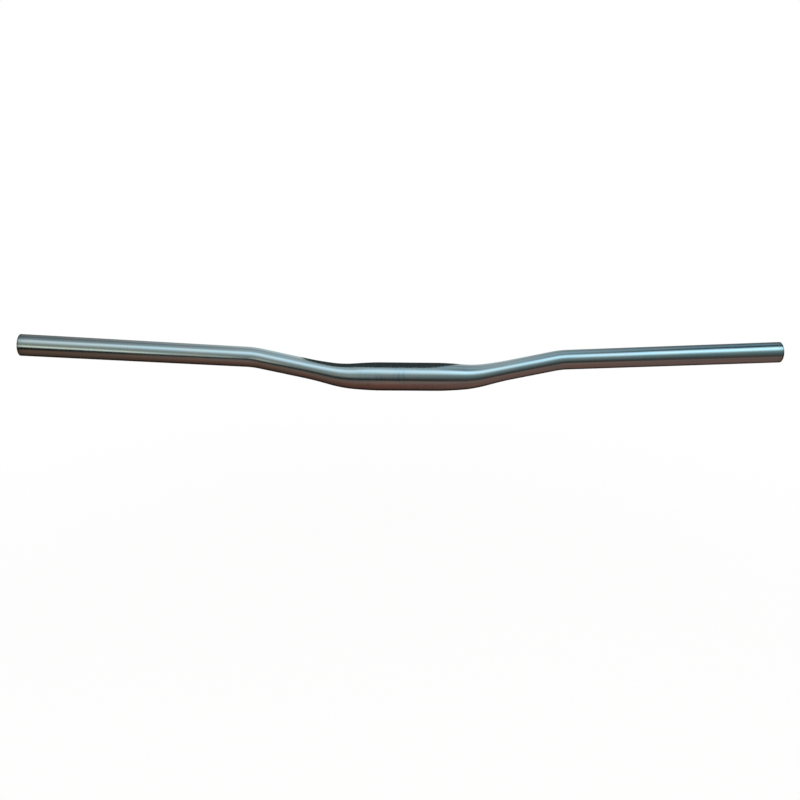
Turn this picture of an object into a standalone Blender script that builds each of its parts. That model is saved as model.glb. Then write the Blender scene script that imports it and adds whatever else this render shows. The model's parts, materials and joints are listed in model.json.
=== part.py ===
"""A riser handlebar: one titanium tube, wide in the middle for the stem and slim where the hands go.

Metres. +X is the rider's right, +Y is forwards and +Z is up, as the bar sits on the bicycle.
The origin is the middle of the stem clamp, on the tube's centre line.
"""

import math

import bmesh
import bpy
from mathutils import Matrix, Vector

MM = 0.001
UP = Vector((0, 0, 1))

# The bend of the bar, as a bar maker states it
BAR_WIDTH = 800 * MM  # over all, straight across from tip to tip
RISE = 21 * MM  # how far the outer bends stand above the clamp
BACKSWEEP = math.radians(9)  # the grips' turn back towards the rider
UPSWEEP = math.radians(5)  # the grips' slope upwards to the tips

# The two bends on each side: the corner's distance from the middle, and the radius it is bent to
INNER_BEND_X = 73 * MM
INNER_BEND_RADIUS = 135 * MM
OUTER_BEND_X = 171 * MM
OUTER_BEND_RADIUS = 80 * MM

# The tube itself. Lengths run along the tube
CLAMP_DIAMETER = 31.8 * MM
CLAMP_LENGTH = 60 * MM  # the full diameter, shared by both sides of the middle
TAPER_LENGTH = 85 * MM  # from the clamp's diameter down to the grip's, on each side
GRIP_DIAMETER = 22.2 * MM
WALL = 1.3 * MM
RIM_ROUNDING = 0.3 * MM  # the edges of the two cut ends, broken so that they don't cut

# How finely the round forms are divided
SIDES = 48
STATION_STEP = 6 * MM
RIM_STEPS = 2
SHARP_EDGE = math.radians(30)

TITANIUM = (0.50, 0.53, 0.55, 1.0)
TITANIUM_ROUGHNESS = 0.2


class Straight:
    """A straight stretch of the centre line."""

    curved = False

    def __init__(self, start, end):
        self.start = start
        self.along = (end - start).normalized()
        self.length = (end - start).length

    def at(self, distance):
        """The point and the direction at this distance from the stretch's start."""
        return self.start + self.along * distance, self.along


class Bend:
    """A round stretch of the centre line, which starts along one direction and turns towards another."""

    curved = True

    def __init__(self, start, along, inward, radius, turn):
        self.start = start
        self.along = along
        self.inward = inward
        self.radius = radius
        self.length = radius * turn

    def at(self, distance):
        """The point and the direction at this distance from the bend's start."""
        turned = distance / self.radius
        forward = self.along * math.sin(turned)
        sideways = self.inward * (1 - math.cos(turned))
        direction = self.along * math.cos(turned) + self.inward * math.sin(turned)
        return self.start + (forward + sideways) * self.radius, direction


def grip_direction():
    """The way the right grip points, from the outer bend to the tip."""
    level = math.cos(UPSWEEP)
    return Vector((math.cos(BACKSWEEP) * level, -math.sin(BACKSWEEP) * level, math.sin(UPSWEEP)))


def half_centre_line():
    """The right half of the centre line, from the middle of the clamp to the tip."""
    middle = Vector((0, 0, 0))
    inner_corner = Vector((INNER_BEND_X, 0, 0))
    outer_corner = Vector((OUTER_BEND_X, 0, RISE))
    outward = grip_direction()
    rim_lean = math.sqrt(1 - outward.x ** 2)  # the end face leans, so one side of its rim is the widest point
    tip_x = (BAR_WIDTH - GRIP_DIAMETER * rim_lean) / 2
    tip = outer_corner + outward * ((tip_x - OUTER_BEND_X) / outward.x)
    corners = [middle, inner_corner, outer_corner, tip]
    radii = [INNER_BEND_RADIUS, OUTER_BEND_RADIUS]

    stretches = []
    start = middle
    for before, corner, after, radius in zip(corners, corners[1:], corners[2:], radii):
        arriving = (corner - before).normalized()
        leaving = (after - corner).normalized()
        turn = arriving.angle(leaving)
        reach = radius * math.tan(turn / 2)
        inward = (leaving - arriving * arriving.dot(leaving)).normalized()
        bend_start = corner - arriving * reach
        stretches.append(Straight(start, bend_start))
        stretches.append(Bend(bend_start, arriving, inward, radius, turn))
        start = corner + leaving * reach
    stretches.append(Straight(start, tip))
    return stretches


def point_on(stretches, distance):
    """The point and direction on the whole bar: a distance below zero is on the left, which mirrors the right."""
    left = abs(distance)
    for stretch in stretches:
        if left <= stretch.length or stretch is stretches[-1]:
            break
        left -= stretch.length
    point, along = stretch.at(left)
    if distance < 0:
        point = Vector((-point.x, point.y, point.z))
        along = Vector((along.x, -along.y, -along.z))
    return point, along


def outer_radius(distance):
    """The tube's outer radius at this distance from its middle: the taper eases in and out, as a swaged one does."""
    share = (abs(distance) - CLAMP_LENGTH / 2) / TAPER_LENGTH
    share = min(max(share, 0), 1)
    eased = share * share * (3 - 2 * share)
    return (CLAMP_DIAMETER + (GRIP_DIAMETER - CLAMP_DIAMETER) * eased) / 2


def half_stations(stretches):
    """Distances from the middle where the tube gets a ring: close together where it bends or tapers."""
    taper_start = CLAMP_LENGTH / 2
    taper_end = taper_start + TAPER_LENGTH
    shaped = [(taper_start, taper_end)]
    stretch_start = 0
    for stretch in stretches:
        stretch_end = stretch_start + stretch.length
        if stretch.curved:
            shaped.append((stretch_start, stretch_end))
        stretch_start = stretch_end
    tip = stretch_start

    breaks = sorted({0, tip}.union(*shaped))
    stations = [0]
    for start, end in zip(breaks, breaks[1:]):
        between = (start + end) / 2
        changing = any(low < between < high for low, high in shaped)
        steps = math.ceil((end - start) / STATION_STEP) if changing else 1
        stations += [start + (end - start) * step / steps for step in range(1, steps + 1)]
    return stations


def ring_frame(point, along):
    """Stands a circle across the tube: its own Z runs along the tube and its Y is the tube's upper side."""
    upper = (UP - along * UP.dot(along)).normalized()
    side = upper.cross(along)
    turned = Matrix((side, upper, along)).transposed().to_4x4()
    return Matrix.Translation(point) @ turned


def swept_skin():
    """The tube's outer surface, open at both ends: circles stood along the centre line and bridged in turn."""
    stretches = half_centre_line()
    right = half_stations(stretches)
    left = [-distance for distance in reversed(right[1:])]

    mesh = bmesh.new()
    previous = None
    for distance in left + right:
        circle = bmesh.ops.create_circle(
            mesh,
            segments=SIDES,
            radius=outer_radius(distance),
            matrix=ring_frame(*point_on(stretches, distance)),
        )
        ring = list({edge for vertex in circle["verts"] for edge in vertex.link_edges})
        if previous:
            bmesh.ops.bridge_loops(mesh, edges=previous + ring)
        previous = ring
    bmesh.ops.recalc_face_normals(mesh, faces=mesh.faces)
    return mesh


def titanium():
    """Bare titanium with a satin finish."""
    material = bpy.data.materials.new("satin_titanium")
    material.use_nodes = True
    shader = material.node_tree.nodes["Principled BSDF"]
    shader.inputs["Base Color"].default_value = TITANIUM
    shader.inputs["Metallic"].default_value = 1.0
    shader.inputs["Roughness"].default_value = TITANIUM_ROUGHNESS
    return material


def handlebar():
    """The whole bar: the swept skin, given its wall, with the rims of both ends rounded."""
    skin = swept_skin()
    mesh = bpy.data.meshes.new("handlebar")
    skin.to_mesh(mesh)
    skin.free()
    mesh.shade_smooth()
    mesh.materials.append(titanium())

    bar = bpy.data.objects.new("handlebar", mesh)
    bpy.context.scene.collection.objects.link(bar)

    wall = bar.modifiers.new("wall", "SOLIDIFY")
    wall.thickness = WALL
    wall.offset = -1
    wall.use_even_offset = True
    wall.use_rim = True

    rims = bar.modifiers.new("rims", "BEVEL")
    rims.limit_method = "ANGLE"
    rims.angle_limit = SHARP_EDGE
    rims.width = RIM_ROUNDING
    rims.segments = RIM_STEPS
    return bar


def clear_scene():
    """Removes whatever the opened scene holds."""
    for thing in list(bpy.data.objects):
        bpy.data.objects.remove(thing, do_unlink=True)


clear_scene()
handlebar()
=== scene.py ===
# %% [markdown]
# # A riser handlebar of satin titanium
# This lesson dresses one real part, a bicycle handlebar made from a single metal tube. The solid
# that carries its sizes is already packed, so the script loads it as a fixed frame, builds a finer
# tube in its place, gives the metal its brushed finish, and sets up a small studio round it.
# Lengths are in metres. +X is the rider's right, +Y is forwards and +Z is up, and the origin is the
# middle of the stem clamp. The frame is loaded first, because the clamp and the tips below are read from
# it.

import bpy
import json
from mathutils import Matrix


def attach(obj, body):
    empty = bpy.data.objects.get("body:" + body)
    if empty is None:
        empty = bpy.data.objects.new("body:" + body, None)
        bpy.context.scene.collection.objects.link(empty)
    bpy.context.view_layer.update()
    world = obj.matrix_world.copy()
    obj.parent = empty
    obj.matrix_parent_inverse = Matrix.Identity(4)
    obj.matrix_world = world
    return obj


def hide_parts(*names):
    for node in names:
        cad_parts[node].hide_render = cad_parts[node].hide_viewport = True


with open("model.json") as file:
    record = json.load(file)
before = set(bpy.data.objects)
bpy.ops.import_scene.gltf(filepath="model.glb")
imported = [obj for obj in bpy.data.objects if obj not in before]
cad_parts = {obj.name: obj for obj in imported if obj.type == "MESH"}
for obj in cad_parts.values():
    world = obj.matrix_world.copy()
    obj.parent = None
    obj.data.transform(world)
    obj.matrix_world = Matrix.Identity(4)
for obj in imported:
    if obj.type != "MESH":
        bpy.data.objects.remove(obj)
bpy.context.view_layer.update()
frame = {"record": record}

# %% [markdown]
# ## What the record already says
# A bar maker's drawing gives the width, rise, backsweep and upsweep. All four are hidden in the two
# end faces: each has a point and a direction, and the tube runs straight in from there. Reading them
# from the record means that this script can't drift away from the solid. Each point lies in the
# middle of the wall at the top of its rim, so the tube's own centre is half a bore and half a wall
# below it.

# %% Read the clamp and the tips
import bisect
import json
import math
from collections import namedtuple

import bmesh
import bpy
from mathutils import Quaternion, Vector

MM = 0.001
UP = Vector((0, 0, 1))

GRIP_DIAMETER = 22.2 * MM
WALL = 1.3 * MM

mounts = {mount["name"]: mount for mount in frame["record"]["mounts"]}
CLAMP_RADIUS = mounts["stem_clamp"]["dims"]["r_mm"] * MM
CLAMP_LENGTH = mounts["stem_clamp"]["dims"]["length_mm"] * MM
GRIP_RADIUS = GRIP_DIAMETER / 2

outward = Vector(mounts["right_end"]["axis"]).normalized()
top_of_rim = (UP - outward * outward.dot(UP)).normalized()
tip = Vector(mounts["right_end"]["pos_m"]) - top_of_rim * (GRIP_RADIUS - WALL / 2)
print("right tip at", [round(value / MM, 2) for value in tip], "mm")

# %% [markdown]
# ## The centre line
# The bar leaves the clamp level, turns up at an inner bend, and turns level again at an outer bend
# that also sweeps it back. A smooth curve through a few points would look alike, but a real bar is
# bent round formers: it has straight stretches joined by arcs of one radius, and the reflections
# show the difference. So each half is worked out as a draughtsman would, from its corners and the
# radius at each corner. The outer corner needs no height of its own, because it lies where the line
# of the grip passes its distance from the middle.

# %% Corners and radii of the right half
INNER_BEND_X = 73 * MM
INNER_BEND_RADIUS = 135 * MM
OUTER_BEND_X = 171 * MM
OUTER_BEND_RADIUS = 80 * MM

middle = Vector((0, 0, 0))
inner_corner = Vector((INNER_BEND_X, 0, 0))
outer_corner = tip - outward * ((tip.x - OUTER_BEND_X) / outward.x)
corners = [middle, inner_corner, outer_corner, tip]
bend_radii = [INNER_BEND_RADIUS, OUTER_BEND_RADIUS]
print("the outer bend stands", round(outer_corner.z / MM, 1), "mm above the clamp")


# %% Straight stretches and bends
class Stretch:
    """Part of the centre line: straight, or a round bend towards one side if it has a radius."""

    def __init__(self, start, along, length, side=None, radius=None):
        self.start = start
        self.along = along
        self.length = length
        self.side = side
        self.radius = radius

    def at(self, distance):
        """The point and the direction at this distance from the stretch's start."""
        if self.radius is None:
            return self.start + self.along * distance, self.along
        turned = distance / self.radius
        point = self.start + self.along * (self.radius * math.sin(turned))
        point += self.side * (self.radius * (1 - math.cos(turned)))
        return point, self.along * math.cos(turned) + self.side * math.sin(turned)


def stretches_between(corners, bend_radii):
    """Straight stretches between the corners, each corner rounded to its radius."""
    found = []
    start = corners[0]
    for before, corner, after, radius in zip(corners, corners[1:], corners[2:], bend_radii):
        arriving = (corner - before).normalized()
        leaving = (after - corner).normalized()
        turn = arriving.angle(leaving)
        reach = radius * math.tan(turn / 2)
        side = (leaving - arriving * arriving.dot(leaving)).normalized()
        bend_start = corner - arriving * reach
        found.append(Stretch(start, arriving, (bend_start - start).length))
        found.append(Stretch(bend_start, arriving, radius * turn, side, radius))
        start = corner + leaving * reach
    found.append(Stretch(start, leaving, (corners[-1] - start).length))
    return found


right_half = stretches_between(corners, bend_radii)
HALF_LENGTH = sum(stretch.length for stretch in right_half)
print("the tube is", round(2 * HALF_LENGTH / MM), "mm long before it is bent")

# %% [markdown]
# ## Rings across the line
# Every ring of the mesh stands square across the centre line. The left half mirrors the right one,
# so a distance below zero is looked up on the right and its X is turned over. The frame of a ring
# keeps its second axis on the upper side of the tube, which stops the mesh from twisting as it goes
# round the bends.


# %% Where a ring stands
def point_on_bar(distance):
    """The point and the direction at this distance from the middle of the bar."""
    remaining = abs(distance)
    for stretch in right_half:
        if remaining <= stretch.length or stretch is right_half[-1]:
            break
        remaining -= stretch.length
    point, along = stretch.at(remaining)
    if distance < 0:
        point = Vector((-point.x, point.y, point.z))
        along = Vector((along.x, -along.y, -along.z))
    return point, along


def ring_axes(distance):
    """The ring's centre, its two axes across the tube, and the direction along it."""
    centre, along = point_on_bar(distance)
    upper = (UP - along * UP.dot(along)).normalized()
    return centre, upper.cross(along), upper, along


print("the last ring stands at", [round(value / MM, 2) for value in point_on_bar(HALF_LENGTH)[0]], "mm")

# %% [markdown]
# ## The skin of a hollow tube
# The tube is widest where the stem clamps it and is swaged down to the grips, easing in and out of
# the taper. Inside is the bore, one wall further in, and the cut ends have their edges broken so
# that they don't cut. A Solidify modifier could make the wall, but then the rim, the bore and the
# outside would be hard to finish apart. Here the whole skin is one closed outline instead, as if it
# were turned on a lathe: pairs of a distance along the tube and a radius, which run along the
# outside, round the rim and back through the bore.

# %% Radius along the tube, and the outline of its skin
TAPER_LENGTH = 85 * MM
RIM_ROUNDING = 0.3 * MM
FINE_STEP = 2 * MM
COARSE_STEP = 12 * MM
RIM_STEPS = 6


def outer_radius(distance):
    """The outer radius at this distance from the middle: the taper eases in and out."""
    share = (abs(distance) - CLAMP_LENGTH / 2) / TAPER_LENGTH
    share = min(max(share, 0), 1)
    eased = share * share * (3 - 2 * share)
    return CLAMP_RADIUS + (GRIP_RADIUS - CLAMP_RADIUS) * eased


def ring_distances():
    """Distances of the rings on the right half: close together where the tube bends or tapers."""
    shaped = [(CLAMP_LENGTH / 2, CLAMP_LENGTH / 2 + TAPER_LENGTH)]
    start = 0
    for stretch in right_half:
        if stretch.radius is not None:
            shaped.append((start, start + stretch.length))
        start += stretch.length
    breaks = sorted({0, HALF_LENGTH - RIM_ROUNDING}.union(*shaped))
    distances = [0]
    for low, high in zip(breaks, breaks[1:]):
        fine = any(begins < (low + high) / 2 < ends for begins, ends in shaped)
        steps = math.ceil((high - low) / (FINE_STEP if fine else COARSE_STEP))
        distances += [low + (high - low) * step / steps for step in range(1, steps + 1)]
    return distances


def rim_outline():
    """The cut end, from the outside to the bore: a rounded edge, the flat face, a rounded edge."""
    outside = GRIP_RADIUS - RIM_ROUNDING
    inside = GRIP_RADIUS - WALL + RIM_ROUNDING
    turns = [math.pi / 2 * step / RIM_STEPS for step in range(1, RIM_STEPS)]
    outer_edge = [(math.sin(turn), outside + RIM_ROUNDING * math.cos(turn)) for turn in turns]
    inner_edge = [(math.cos(turn), inside - RIM_ROUNDING * math.sin(turn)) for turn in turns]
    pairs = outer_edge + [(1, outside), (1, inside)] + inner_edge
    return [(HALF_LENGTH - RIM_ROUNDING + RIM_ROUNDING * out, radius) for out, radius in pairs]


distances = ring_distances()
outside = [(distance, outer_radius(distance), "outside") for distance in distances]
rim = [(distance, radius, "rim") for distance, radius in rim_outline()]
bore = [(distance, radius - WALL, "bore") for distance, radius, part in reversed(outside)]
right_outline = outside + rim + bore
left_outline = [(-distance, radius, part) for distance, radius, part in reversed(right_outline[1:-1])]
whole_outline = right_outline + left_outline
print(len(whole_outline), "rings round the whole skin")

# %% [markdown]
# ## A flat map of the skin
# The finish below needs no map, but a bar that leaves this file takes its finish along as pictures,
# and those need one. Cutting such a long thin thing into patches by their angles wastes most of the
# square. A tube opens flat by itself, so it is cut underneath and laid out as four strips, each half
# a bar long: the right outside, the right bore, the left bore and the left outside, each rim with
# its outside. Lengths are measured along the skin, so nothing is stretched where the tube tapers.

# %% Four strips
SIDES = 128
MAP_MARGIN = 0.004

skin_lengths = [0]
for before, after in zip(whole_outline, whole_outline[1:] + whole_outline[:1]):
    skin_lengths.append(skin_lengths[-1] + math.dist(before[:2], after[:2]))

bore_rings = [index for index, (distance, radius, part) in enumerate(whole_outline) if part == "bore"]
strip_starts = [0, bore_rings[0], len(right_outline) - 1, bore_rings[-1]]
longest_strip = skin_lengths[bore_rings[0]]


def flat_place(index, following, step):
    """Where a corner of the faces after this ring lies on the map: on this ring or the following one."""
    strip = bisect.bisect_right(strip_starts, index) - 1
    reach = skin_lengths[index + following] - skin_lengths[strip_starts[strip]]
    along = MAP_MARGIN + (1 - 2 * MAP_MARGIN) * reach / longest_strip
    around = MAP_MARGIN + (1 / len(strip_starts) - 2 * MAP_MARGIN) * step / SIDES
    return along, strip / len(strip_starts) + around


print("each strip is", round(longest_strip / MM), "mm long")

# %% [markdown]
# ## Sweeping the outline round
# Each pair of the outline becomes a ring of points, and neighbouring rings are bridged with quads.
# The last ring is bridged to the first, so the skin closes on itself. Each point also remembers where
# it would lie if the bar were still a straight tube. The brushing was done round the tube, so the
# finish is drawn in those straight coordinates and follows the bends by itself.

# %% Build the skin
PARTS = ["outside", "rim", "bore"]
FACE_CORNERS = ((0, 0), (0, 1), (1, 1), (1, 0))


def ring_points(mesh, distance, radius, straight):
    """Adds one ring of points, from the underside round, each with its place on the straight tube."""
    centre, side, upper, along = ring_axes(distance)
    ring = []
    for step in range(SIDES):
        turn = 2 * math.pi * (step / SIDES + 1 / 4)
        across = -math.cos(turn) * radius
        over = -math.sin(turn) * radius
        point = mesh.verts.new(centre + side * across + upper * over)
        point[straight] = Vector((distance, across, over))
        ring.append(point)
    return ring


def skin_part(before, after):
    """The part that the faces between two rings belong to."""
    kinds = {before[2], after[2]}
    return kinds.pop() if len(kinds) == 1 else "rim"


def build_skin(name, outline):
    """The closed skin as a mesh, with one material index for each part of it."""
    mesh = bmesh.new()
    straight = mesh.verts.layers.float_vector.new("straight_tube")
    flat = mesh.loops.layers.uv.new("OFBake")
    rings = [ring_points(mesh, distance, radius, straight) for distance, radius, part in outline]
    for index, ring in enumerate(rings):
        following = rings[(index + 1) % len(rings)]
        part = skin_part(outline[index], outline[(index + 1) % len(outline)])
        for step in range(SIDES):
            after = (step + 1) % SIDES
            face = mesh.faces.new((ring[step], ring[after], following[after], following[step]))
            face.material_index = PARTS.index(part)
            face.smooth = True
            for loop, (next_ring, next_step) in zip(face.loops, FACE_CORNERS):
                loop[flat].uv = flat_place(index, next_ring, step + next_step)
    bmesh.ops.recalc_face_normals(mesh, faces=mesh.faces)
    skin = bpy.data.meshes.new(name)
    mesh.to_mesh(skin)
    mesh.free()
    return skin


skin = build_skin("handlebar_tube", whole_outline)
tube = bpy.data.objects.new("handlebar_tube", skin)
bpy.context.scene.collection.objects.link(tube)
print(tube.name, "has", 2 * len(skin.polygons), "triangles")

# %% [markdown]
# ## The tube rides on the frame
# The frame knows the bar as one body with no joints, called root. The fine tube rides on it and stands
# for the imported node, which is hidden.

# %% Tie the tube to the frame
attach(tube, "root")
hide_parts("handlebar")
print(tube.name, "rides on the frame's one body")

# %% [markdown]
# ## Arithmetic on shader sockets
# A finish is a sum of noises, masks and mixes. Wired by hand that is a page of nodes, and written
# as a formula it is a line. This class wraps one output socket, so that adding or multiplying two
# of them adds the Math node that does it. Everything that isn't arithmetic comes from its node()
# method. A Math node turns a colour grey, so colours go through Mix or Vector Math instead.


# %% A socket that can be added and multiplied
class Field:
    """An output socket of a node tree. Sums, differences and products of fields add Math nodes."""

    def __init__(self, tree, socket=None):
        self.tree = tree
        self.socket = socket

    def node(self, kind, settings=None, inputs=None, output=0):
        """Adds a node, sets it up, feeds its sockets with values or fields, and wraps an output."""
        made = self.tree.nodes.new(kind)
        for name, value in (settings or {}).items():
            setattr(made, name, value)
        for name, value in (inputs or {}).items():
            if isinstance(value, Field):
                self.tree.links.new(value.socket, made.inputs[name])
            else:
                made.inputs[name].default_value = value
        return Field(self.tree, made.outputs[output] if made.outputs else None)

    def maths(self, operation, first, second=0.0):
        """Adds a Math node, fed with two values or fields."""
        return self.node("ShaderNodeMath", {"operation": operation}, {0: first, 1: second})

    def __add__(self, other):
        return self.maths("ADD", self, other)

    def __sub__(self, other):
        return self.maths("SUBTRACT", self, other)

    def __rsub__(self, other):
        return self.maths("SUBTRACT", other, self)

    def __mul__(self, other):
        return self.maths("MULTIPLY", self, other)

    __radd__ = __add__
    __rmul__ = __mul__


# %% Masks, colours and bumps
def eased(value, low, high):
    """0 where the field is at low, 1 where it is at high, and a smooth step between them."""
    settings = {"interpolation_type": "SMOOTHSTEP"}
    return value.node("ShaderNodeMapRange", settings, {"Value": value, "From Min": low, "From Max": high})


# A Mix node has sockets called A, B and Result for every kind of value. These are the colour ones
MIX_A = 6
MIX_B = 7
MIX_RESULT = 2


def mixed(share, first, second):
    """The first colour where the share is 0 and the second where it is 1."""
    inputs = {"Factor": share, MIX_A: first, MIX_B: second}
    return share.node("ShaderNodeMix", {"data_type": "RGBA"}, inputs, output=MIX_RESULT)


def scaled(colour, amount):
    """A colour field times a number."""
    return colour.node("ShaderNodeVectorMath", {"operation": "SCALE"}, {0: colour, "Scale": amount})


def bumped(height, depth, under=None):
    """The surface raised by a field up to this depth, on top of another bump if one is given."""
    inputs = {"Height": height, "Distance": depth}
    if under is not None:
        inputs["Normal"] = under
    return height.node("ShaderNodeBump", {}, inputs)


# %% Materials and how they end
def glowing(tree, colour):
    """A shader that gives off this colour, whatever falls on it."""
    return tree.node("ShaderNodeEmission", {}, {"Color": colour, "Strength": 1.0})


def material_tree(name):
    """A new material and a field on its empty node tree."""
    material = bpy.data.materials.new(name)
    material.use_nodes = True
    material.node_tree.nodes.clear()
    return material, Field(material.node_tree)


def give_surface(shader):
    """Ends a shader's node tree in it."""
    shader.node("ShaderNodeOutputMaterial", {}, {"Surface": shader})


def give_metal(tree, colour, roughness, normal, metallic=1.0):
    """Ends a node tree in metal of this colour, roughness and bump."""
    inputs = {"Base Color": colour, "Metallic": metallic, "Roughness": roughness, "Normal": normal}
    give_surface(tree.node("ShaderNodeBsdfPrincipled", {}, inputs))


# %% [markdown]
# ## Satin titanium
# The outside of the bar is bare metal, polished with a fine belt that ran round the tube. Such a
# finish is thousands of short scratches across the bar's length. Each is far too fine for the mesh,
# so they are noise, squeezed along the tube until it is lines. The scratches do two things: their
# slopes spread each reflection along the bar while it stays crisp across it, which is bump, and
# some bands of them are a little duller or paler than others, which is roughness and colour. Slower
# noise adds the soft waves that a hand-held belt leaves. The wide middle was brushed harder, so it
# has patches where the streaks show. The last few millimetres at each end were dulled when the bar
# was cut. At the very edge, a painted shade darkens the metal's colour almost to black.

# %% Noise on the straight tube
SCRATCH_WIDTH = 0.45 * MM
SCRATCH_LENGTH = 22 * MM
BAND_WIDTH = 2.2 * MM
BAND_LENGTH = 30 * MM
WAVE_LENGTH = 34 * MM
WAVE_WIDTH = 16 * MM
STREAK_WIDTH = 1.3 * MM
STREAK_LENGTH = 12 * MM
STREAK_PATCH_LENGTH = 30 * MM
STREAK_PATCH_WIDTH = 14 * MM
NOISE_MIDDLE = 0.5


def place_on_tube(tree):
    """The place on the bar as if it were straight, with its length along X."""
    return tree.node("ShaderNodeAttribute", {"attribute_name": "straight_tube"}, output="Vector")


def from_middle(place):
    """How far a place is from the middle along X, on either side."""
    return place.maths("ABSOLUTE", place.node("ShaderNodeSeparateXYZ", {}, {0: place}, output="X"))


def noise_on_tube(tree, along, around, detail=2.0):
    """Noise from about 0 to 1 whose grains are this long along the tube and this long around it."""
    place = place_on_tube(tree)
    scale = Vector((1 / along, 1 / around, 1 / around))
    grain = tree.node("ShaderNodeVectorMath", {"operation": "MULTIPLY"}, {0: place, 1: scale})
    return tree.node("ShaderNodeTexNoise", {}, {"Vector": grain, "Scale": 1.0, "Detail": detail})


print("a scratch is", round(SCRATCH_LENGTH / SCRATCH_WIDTH), "times as long as it is wide")

# %% Brushed outside of the tube
TITANIUM_COOL = (0.47, 0.53, 0.56, 1)
TITANIUM_WARM = (0.53, 0.53, 0.53, 1)
TITANIUM_STREAK = (0.39, 0.43, 0.45, 1)
TITANIUM_DULL = (0.38, 0.40, 0.39, 1)
# Painted shade: a near-black colour laid over the last millimetre or so of each end
PAINTED_EDGE_SHADE = (0.12, 0.12, 0.11, 1)
WAVES_WARM = (0.35, 0.65)
WAVES_SHARE = 0.6
BANDS_WARM = (0.3, 0.7)
STREAKS_SHOW = (0.4, 0.7)
PATCHES_END = (0.35, 0.55)
STREAKS_FADE = (50 * MM, 110 * MM)
DULL_END = (HALF_LENGTH - 7 * MM, HALF_LENGTH - 1 * MM)
DULL_SHARE = 0.6
# Where the painted shade at each end begins and is full, and how strongly it darkens the colour
PAINTED_SHADE_REACH = (HALF_LENGTH - 1.8 * MM, HALF_LENGTH - 0.6 * MM)
PAINTED_SHADE_SHARE = 0.8
SATIN_ROUGHNESS = 0.17
BAND_ROUGHNESS = 0.12
SCRATCH_ROUGHNESS = 0.06
DULL_ROUGHNESS = 0.1
SCRATCH_DEPTH = 0.012 * MM
WAVE_DEPTH = 0.12 * MM


def brushed_titanium():
    """Bare titanium, belt-polished round the tube to an even satin."""
    material, tree = material_tree("brushed_titanium")
    scratches = noise_on_tube(tree, SCRATCH_WIDTH, SCRATCH_LENGTH)
    bands = noise_on_tube(tree, BAND_WIDTH, BAND_LENGTH)
    waves = noise_on_tube(tree, WAVE_LENGTH, WAVE_WIDTH, detail=1.0)
    streaks = noise_on_tube(tree, STREAK_WIDTH, STREAK_LENGTH)
    patches = noise_on_tube(tree, STREAK_PATCH_LENGTH, STREAK_PATCH_WIDTH, detail=1.0)
    along = from_middle(place_on_tube(tree))

    warm = eased(waves, *WAVES_WARM) * WAVES_SHARE + eased(bands, *BANDS_WARM) * (1 - WAVES_SHARE)
    streaked = eased(streaks, *STREAKS_SHOW) * (1 - eased(patches, *PATCHES_END))
    streaked = streaked * (1 - eased(along, *STREAKS_FADE))
    dull = eased(along, *DULL_END) * DULL_SHARE
    # Painted shade on the very edge of each cut end
    painted_edge_shade = eased(along, *PAINTED_SHADE_REACH) * PAINTED_SHADE_SHARE
    colour = mixed(warm, TITANIUM_COOL, TITANIUM_WARM)
    colour = mixed(streaked, colour, TITANIUM_STREAK)
    colour = mixed(dull, colour, TITANIUM_DULL)
    colour = mixed(painted_edge_shade, colour, PAINTED_EDGE_SHADE)

    roughness = SATIN_ROUGHNESS + (bands - NOISE_MIDDLE) * BAND_ROUGHNESS
    roughness = roughness + (scratches - NOISE_MIDDLE) * SCRATCH_ROUGHNESS + dull * DULL_ROUGHNESS
    brushing = bumped(scratches, SCRATCH_DEPTH, under=bumped(waves, WAVE_DEPTH))
    give_metal(tree, colour, roughness, brushing)
    return material


# %% [markdown]
# ## The cut ends and the bore
# The rims were faced off on a lathe and their edges broken, so they are brighter than the outside
# and carry the fine rings of the tool. The bore was never polished: it keeps the dull, slightly
# darker skin that drawing the tube left, with faint lines along its length. That skin is part oxide,
# so it is only half metal here, and lamps light it as they would light grey paint.

# %% Machined rims and drawn bore
RIM_TITANIUM = (0.60, 0.60, 0.60, 1)
RIM_ROUGHNESS = 0.16
TOOL_RING_WIDTH = 0.12 * MM
TOOL_RING_LENGTH = 2.4 * MM
TOOL_RING_DEPTH = 0.004 * MM
TOOL_RING_ROUGHNESS = 0.1
BORE_TITANIUM = (0.38, 0.38, 0.39, 1)
BORE_METAL = 0.5
BORE_ROUGHNESS = 0.5
DRAW_LINE_WIDTH = 0.8 * MM
DRAW_LINE_LENGTH = 60 * MM
DRAW_LINE_DEPTH = 0.01 * MM
DRAW_LINE_ROUGHNESS = 0.2


def machined_rim():
    """The faced end of the tube, with the tool's rings, which are noise across the wall."""
    material, tree = material_tree("machined_titanium_rim")
    rings = noise_on_tube(tree, TOOL_RING_LENGTH, TOOL_RING_WIDTH, detail=1.0)
    roughness = RIM_ROUGHNESS + (rings - NOISE_MIDDLE) * TOOL_RING_ROUGHNESS
    give_metal(tree, RIM_TITANIUM, roughness, bumped(rings, TOOL_RING_DEPTH))
    return material


def drawn_bore():
    """The inside of the tube as it was drawn, dull and faintly lined along its length."""
    material, tree = material_tree("drawn_titanium_bore")
    lines = noise_on_tube(tree, DRAW_LINE_LENGTH, DRAW_LINE_WIDTH)
    roughness = BORE_ROUGHNESS + (lines - NOISE_MIDDLE) * DRAW_LINE_ROUGHNESS
    give_metal(tree, BORE_TITANIUM, roughness, bumped(lines, DRAW_LINE_DEPTH), metallic=BORE_METAL)
    return material


for finish in (brushed_titanium, machined_rim, drawn_bore):
    tube.data.materials.append(finish())
print("finishes:", [material.name for material in tube.data.materials])

# %% [markdown]
# ## Floor and background
# The picture is plain white. Adding lamps until everything burns out would spoil the metal, so the
# camera alone is told to see white: Light Path says what kind of ray is asking, and camera, glossy
# and transmission rays get a background of strength 1. Other rays get an even light that makes the
# pale floor show about its own colour. The floor is that same white with a share of real shading
# mixed in under the bar, which keeps its soft shadow there. The share fades out with the distance, so
# that no horizon shows where the floor ends.

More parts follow.
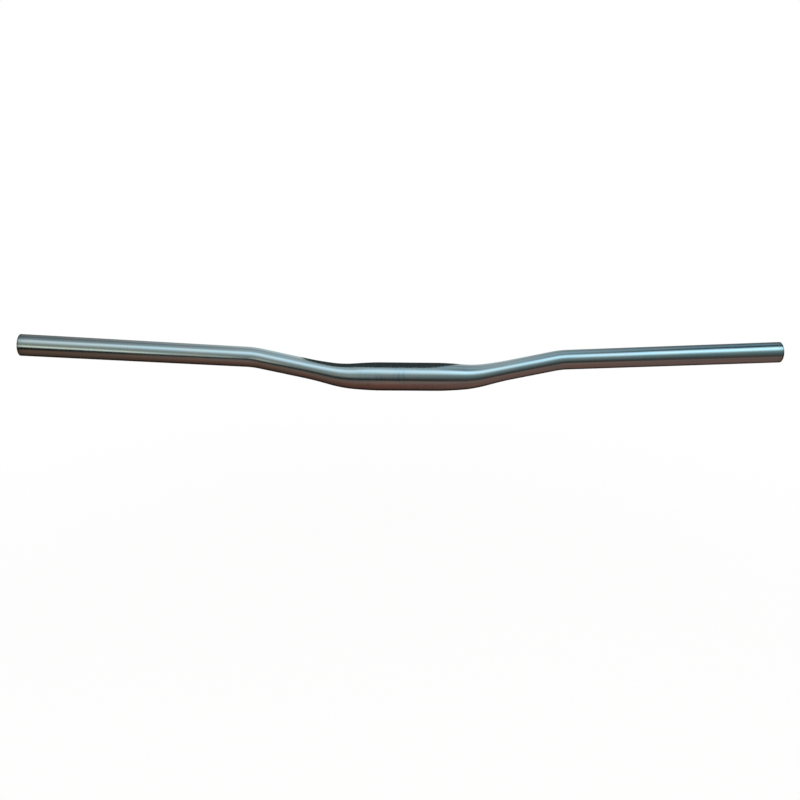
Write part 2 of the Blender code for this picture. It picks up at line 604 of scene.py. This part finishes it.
# %% White world and pale floor
WHITE = (1, 1, 1, 1)
WORLD_LEVEL = 0.9
FLOOR_DROP = 0.75
FLOOR_SIZE = 8.0
FLOOR_PAPER = (0.92, 0.92, 0.91, 1)
FLOOR_SHADED_SHARE = 0.25
SHADING_FADES = (0.8, 2.2)


def seen_directly(tree):
    """1 for camera, glossy and transmission rays, and 0 for the rest."""
    kinds = ("Is Camera Ray", "Is Glossy Ray", "Is Transmission Ray")
    camera, glossy, through = (tree.node("ShaderNodeLightPath", output=kind) for kind in kinds)
    return tree.maths("MAXIMUM", tree.maths("MAXIMUM", camera, glossy), through)


world = bpy.data.worlds.new("white_background")
world.use_nodes = True
world.node_tree.nodes.clear()
sky = Field(world.node_tree)
level = WORLD_LEVEL + seen_directly(sky) * (1 - WORLD_LEVEL)
background = sky.node("ShaderNodeBackground", {}, {"Color": WHITE, "Strength": level})
sky.node("ShaderNodeOutputWorld", {}, {"Surface": background})
bpy.context.scene.world = world


def pale_paper():
    """Paper that shows white to the camera and keeps a share of its own shading near the bar."""
    material, tree = material_tree("pale_paper")
    paper = tree.node("ShaderNodeBsdfDiffuse", {}, {"Color": FLOOR_PAPER})
    place = tree.node("ShaderNodeTexCoord", output="Object")
    reach = tree.node("ShaderNodeVectorMath", {"operation": "LENGTH"}, {0: place}, output="Value")
    shading = FLOOR_SHADED_SHARE * (1 - eased(reach, *SHADING_FADES))
    share = seen_directly(tree) * (1 - shading)
    shaders = {0: share, 1: paper, 2: glowing(tree, WHITE)}
    give_surface(tree.node("ShaderNodeMixShader", {}, shaders))
    return material


bpy.ops.mesh.primitive_plane_add(size=FLOOR_SIZE, location=(0, 0, -FLOOR_DROP))
floor = bpy.context.object
floor.name = "floor"
floor.data.materials.append(pale_paper())
print("the floor lies", FLOOR_DROP, "m below the clamp")

# %% [markdown]
# ## What the metal reflects
# Bare metal has almost no colour of its own to show: what you see on it is the room. A
# photographer shapes that with cards. Here they are joined into one paper tunnel round the bar,
# which only the reflections see. A place on the tunnel is an angle round the bar: 0 degrees is level
# in front, 90 is straight up, and -90 is straight down. Going up from below, the paper is a brown
# table, a dim edge on it, a grey wall, a tall soft window of cool light, a ceiling, and a duller
# stretch behind with a low card under it, so that the bar's back isn't black. Each card has a colour
# at its left end, in the middle and at its right end, and four marks at each end: where it starts,
# is full, starts to fade and has gone. Colours and marks slide from the left end of the bar to the
# right one. Under the low card the paper stays dark until the table begins, a little behind straight
# down, and that gives the bar the dark line along its lower edge. The tunnel glows a little less
# towards its far ends.

# %% Cards in the tunnel
Card = namedtuple("Card", "left middle right left_marks right_marks")

TABLE = Card(
    left=(0.145, 0.096, 0.066),
    middle=(0.225, 0.096, 0.071),
    right=(0.227, 0.143, 0.121),
    left_marks=(-149, -39, -32, -24),
    right_marks=(-180, -59, -58, 13),
)
TABLE_EDGE = Card(
    left=(0, 0, 0),
    middle=(0.118, 0.143, 0.128),
    right=(0.051, 0.075, 0.071),
    left_marks=(-76, -18, -14, 0),
    right_marks=(-46, -31, -30, -24),
)
WALL = Card(
    left=(0.409, 0.484, 0.397),
    middle=(0.303, 0.364, 0.356),
    right=(0.263, 0.411, 0.415),
    left_marks=(-3, 2, 3, 65),
    right_marks=(-28, 51, 52, 79),
)
WINDOW = Card(
    left=(0.484, 0.560, 0.550),
    middle=(0.914, 1.262, 1.437),
    right=(1.062, 1.693, 1.986),
    left_marks=(24, 59, 62, 79),
    right_marks=(28, 57, 58, 86),
)
CEILING = Card(
    left=(0.259, 0.339, 0.359),
    middle=(0.540, 0.701, 0.744),
    right=(0.191, 0.334, 0.404),
    left_marks=(21, 59, 72, 141),
    right_marks=(84, 108, 117, 124),
)
BEHIND = Card(
    left=(0.206, 0.220, 0.219),
    middle=(0.849, 1.004, 1.025),
    right=(0.220, 0.272, 0.300),
    left_marks=(105, 127, 188, 195),
    right_marks=(93, 160, 188, 195),
)
LOW_BEHIND = Card(
    left=(0.20, 0.16, 0.14),
    middle=(0.20, 0.16, 0.14),
    right=(0.20, 0.16, 0.14),
    left_marks=(184, 192, 206, 228),
    right_marks=(184, 192, 206, 228),
)

LEFT_END = -0.76
RIGHT_END = 0.70
TABLE_BEGINS = (math.radians(-128), math.radians(-96))
TUNNEL_DIMS = (1.0, 1.25)
TUNNEL_END_LEVEL = 0.75
TUNNEL_RADIUS = 0.7
TUNNEL_LENGTH = 3.2
TUNNEL_SIDES = 96


def card_light(card, angle, to_right):
    """The light of one card at this angle, as a colour field."""
    starts, full, fades, gone = [
        math.radians(left) + to_right * math.radians(right - left)
        for left, right in zip(card.left_marks, card.right_marks)
    ]
    amount = eased(angle, starts, full) * (1 - eased(angle, fades, gone))
    to_middle = mixed(to_right * 2, (*card.left, 1), (*card.middle, 1))
    colour = mixed(to_right * 2 - 1, to_middle, (*card.right, 1))
    return scaled(colour, amount)


def along_and_round(place):
    """A place's X, and its angle round the bar: 0 is level in front and a quarter turn straight up."""
    x, y, z = (place.node("ShaderNodeSeparateXYZ", {}, {0: place}, output=axis) for axis in "XYZ")
    return x, place.maths("ARCTAN2", z, 0 - y)


def tunnel_light():
    """The glow of the tunnel's paper, worked out from the place on it."""
    material, tree = material_tree("tunnel_light")
    place = tree.node("ShaderNodeTexCoord", output="Object")
    x, angle = along_and_round(place)
    full_turn = {0: angle, 1: 2 * math.pi, 2: 0.0}
    angle_past_back = tree.node("ShaderNodeMath", {"operation": "WRAP"}, full_turn)
    to_right = eased(x, LEFT_END, RIGHT_END)

    lights = [card_light(card, angle, to_right) for card in (TABLE_EDGE, WALL, WINDOW, CEILING)]
    lights += [card_light(card, angle_past_back, to_right) for card in (BEHIND, LOW_BEHIND)]
    glow = scaled(card_light(TABLE, angle, to_right), eased(angle, *TABLE_BEGINS))
    for light in lights:
        glow = tree.node("ShaderNodeVectorMath", {"operation": "ADD"}, {0: glow, 1: light})
    glow = scaled(glow, 1 - eased(from_middle(place), *TUNNEL_DIMS) * (1 - TUNNEL_END_LEVEL))
    give_surface(glowing(tree, glow))
    return material


def only_reflected(thing):
    """Part of the studio that only reflections see."""
    thing.visible_camera = False
    thing.visible_diffuse = False
    thing.visible_shadow = False


def paper_tube(name, radius, start, end, ends, paper):
    """A tube of paper round the bar, from one X to another. Its own coordinates are the scene's."""
    bpy.ops.mesh.primitive_cylinder_add(
        vertices=TUNNEL_SIDES,
        radius=radius,
        depth=end - start,
        end_fill_type=ends,
        location=((start + end) / 2, 0, 0),
        rotation=(0, math.radians(90), 0),
    )
    bpy.ops.object.transform_apply(location=True, rotation=True)
    tube_of_paper = bpy.context.object
    tube_of_paper.name = name
    tube_of_paper.data.materials.append(paper)
    only_reflected(tube_of_paper)


TUNNEL_REACH = TUNNEL_LENGTH / 2
paper_tube("reflection_tunnel", TUNNEL_RADIUS, -TUNNEL_REACH, TUNNEL_REACH, "NGON", tunnel_light())
print("the reflections see a tunnel", TUNNEL_LENGTH, "m long")

# %% [markdown]
# ## A pale strip along the left arm
# Just above its dark line the left arm carries a thin pale line, which weakens towards the outer bend
# and has gone soon after it. A line on the far tunnel would come and go at the wrong places, since
# the swept arm and the straight slope of the rise throw their reflections to the same spot there. So
# the strip hangs close, on a small clear tube that adds its light to what lies behind it.

# %% Hang the pale strip
STRIP = Card(
    left=(0.76, 0.83, 0.71),
    middle=(0.78, 0.85, 0.75),
    right=(0.78, 0.85, 0.75),
    left_marks=(8, 16, 19, 23),
    right_marks=(-4, 5, 11, 19),
)
STRIP_RADIUS = 0.2
STRIP_START = -0.55
STRIP_END = -0.13
STRIP_WEAKENS = (-0.31, -0.23)
STRIP_TAIL = 0.5
STRIP_TAIL_FADES = (-0.19, -0.13)


def strip_light():
    """Clear, with the strip's glow added."""
    material, tree = material_tree("strip_light")
    x, angle = along_and_round(tree.node("ShaderNodeTexCoord", output="Object"))
    head = (1 - eased(x, *STRIP_WEAKENS)) * (1 - STRIP_TAIL)
    tail = (1 - eased(x, *STRIP_TAIL_FADES)) * STRIP_TAIL
    glow = scaled(card_light(STRIP, angle, eased(x, STRIP_START, STRIP_END)), head + tail)
    clear = tree.node("ShaderNodeBsdfTransparent")
    give_surface(tree.node("ShaderNodeAddShader", {}, {0: clear, 1: glowing(tree, glow)}))
    return material


paper_tube("pale_strip", STRIP_RADIUS, STRIP_START, STRIP_END, "NOTHING", strip_light())
print("the pale strip hangs", STRIP_RADIUS, "m from the bar")

# %% [markdown]
# ## A black flag over the clamp
# The middle of the bar carries a dark band along its top, which narrows to a point on each side. It
# is the reflection of something dark that hangs close behind. Painted on the far tunnel it would
# slide out along the arms, because the bends turn their reflections inwards, so it is a black card
# close to the bar, called a flag in a studio. It leans back from just over the clamp, narrow at its
# upper edge and wide at its lower one.

# %% Hang the flag
FLAG_BLACK = (0.043, 0.058, 0.061, 1)
FLAG_UPPER_EDGE = (Vector((-0.048, 0.001, 0.278)), Vector((0.045, 0.001, 0.278)))
FLAG_LOWER_EDGE = (Vector((-0.153, 0.097, -0.073)), Vector((0.078, 0.097, -0.073)))


def flag_cloth():
    """Black cloth that gives back a trace of light, whatever falls on it."""
    material, tree = material_tree("flag_cloth")
    give_surface(glowing(tree, FLAG_BLACK))
    return material


flag_sheet = bmesh.new()
flag_corners = [flag_sheet.verts.new(place) for place in (*FLAG_UPPER_EDGE, *reversed(FLAG_LOWER_EDGE))]
flag_sheet.faces.new(flag_corners)
flag_mesh = bpy.data.meshes.new("black_flag")
flag_sheet.to_mesh(flag_mesh)
flag_sheet.free()
flag_mesh.materials.append(flag_cloth())
flag = bpy.data.objects.new("black_flag", flag_mesh)
bpy.context.scene.collection.objects.link(flag)
only_reflected(flag)
print("the flag is", round((FLAG_LOWER_EDGE[1] - FLAG_LOWER_EDGE[0]).length, 3), "m wide below")

# %% [markdown]
# ## Lamps
# Two large soft lamps, one from each side above the camera, give the floor its light and the bar
# its faint shadow. The tunnel already stands for them in the metal, so they are kept out of its
# reflections.

# %% Two soft lamps
LAMP_SIZE = 1.4
KEY_PLACE = (1.2, -1.3, 1.9)
KEY_POWER = 12
FILL_PLACE = (-1.5, -1.0, 1.6)
FILL_POWER = 7


def soft_lamp(name, place, power):
    """A square lamp that faces the bar."""
    light = bpy.data.lights.new(name, "AREA")
    light.size = LAMP_SIZE
    light.energy = power
    lamp = bpy.data.objects.new(name, light)
    lamp.location = place
    lamp.rotation_euler = Vector(place).to_track_quat("Z", "Y").to_euler()
    lamp.visible_camera = False
    lamp.visible_glossy = False
    bpy.context.scene.collection.objects.link(lamp)


soft_lamp("key_lamp", KEY_PLACE, KEY_POWER)
soft_lamp("fill_lamp", FILL_PLACE, FILL_POWER)
print("the key lamp stands", round(Vector(KEY_PLACE).length, 2), "m from the bar")

# %% [markdown]
# ## Camera
# The bar was photographed from close in front and a little above. How fast the tube narrows towards
# its ends fixes the distance and so the lens. The camera looks at a point just below the clamp, from
# an azimuth and an elevation, and leans by about a degree as a hand-held camera does.

# %% Camera in the photograph's place
CAMERA_DISTANCE = 684.5 * MM
CAMERA_AZIMUTH = math.radians(-2.866)
CAMERA_ELEVATION = math.radians(18.561)
CAMERA_LEAN = math.radians(1.236)
CAMERA_AIM = Vector((-8.97, 0, -27.82)) * MM
CAMERA_LENS = 27.0
NEAREST_SEEN = 10 * MM

level_back = Vector((math.sin(CAMERA_AZIMUTH), -math.cos(CAMERA_AZIMUTH), 0))
back = level_back * math.cos(CAMERA_ELEVATION) + UP * math.sin(CAMERA_ELEVATION)
lens = bpy.data.cameras.new("camera")
lens.lens = CAMERA_LENS
lens.clip_start = NEAREST_SEEN
camera = bpy.data.objects.new("camera", lens)
camera.location = CAMERA_AIM + back * CAMERA_DISTANCE
lean = Quaternion((0, 0, 1), CAMERA_LEAN)
camera.rotation_euler = (back.to_track_quat("Z", "Y") @ lean).to_euler()
bpy.context.scene.collection.objects.link(camera)
bpy.context.scene.camera = camera
bpy.context.scene.view_settings.view_transform = "Standard"
print("the camera stands", round(CAMERA_DISTANCE, 3), "m from the bar")

# %% [markdown]
# ## A last update
# The scene is brought up to date once more, so that every object stands where it was put.

# %% Update the scene
bpy.context.view_layer.update()
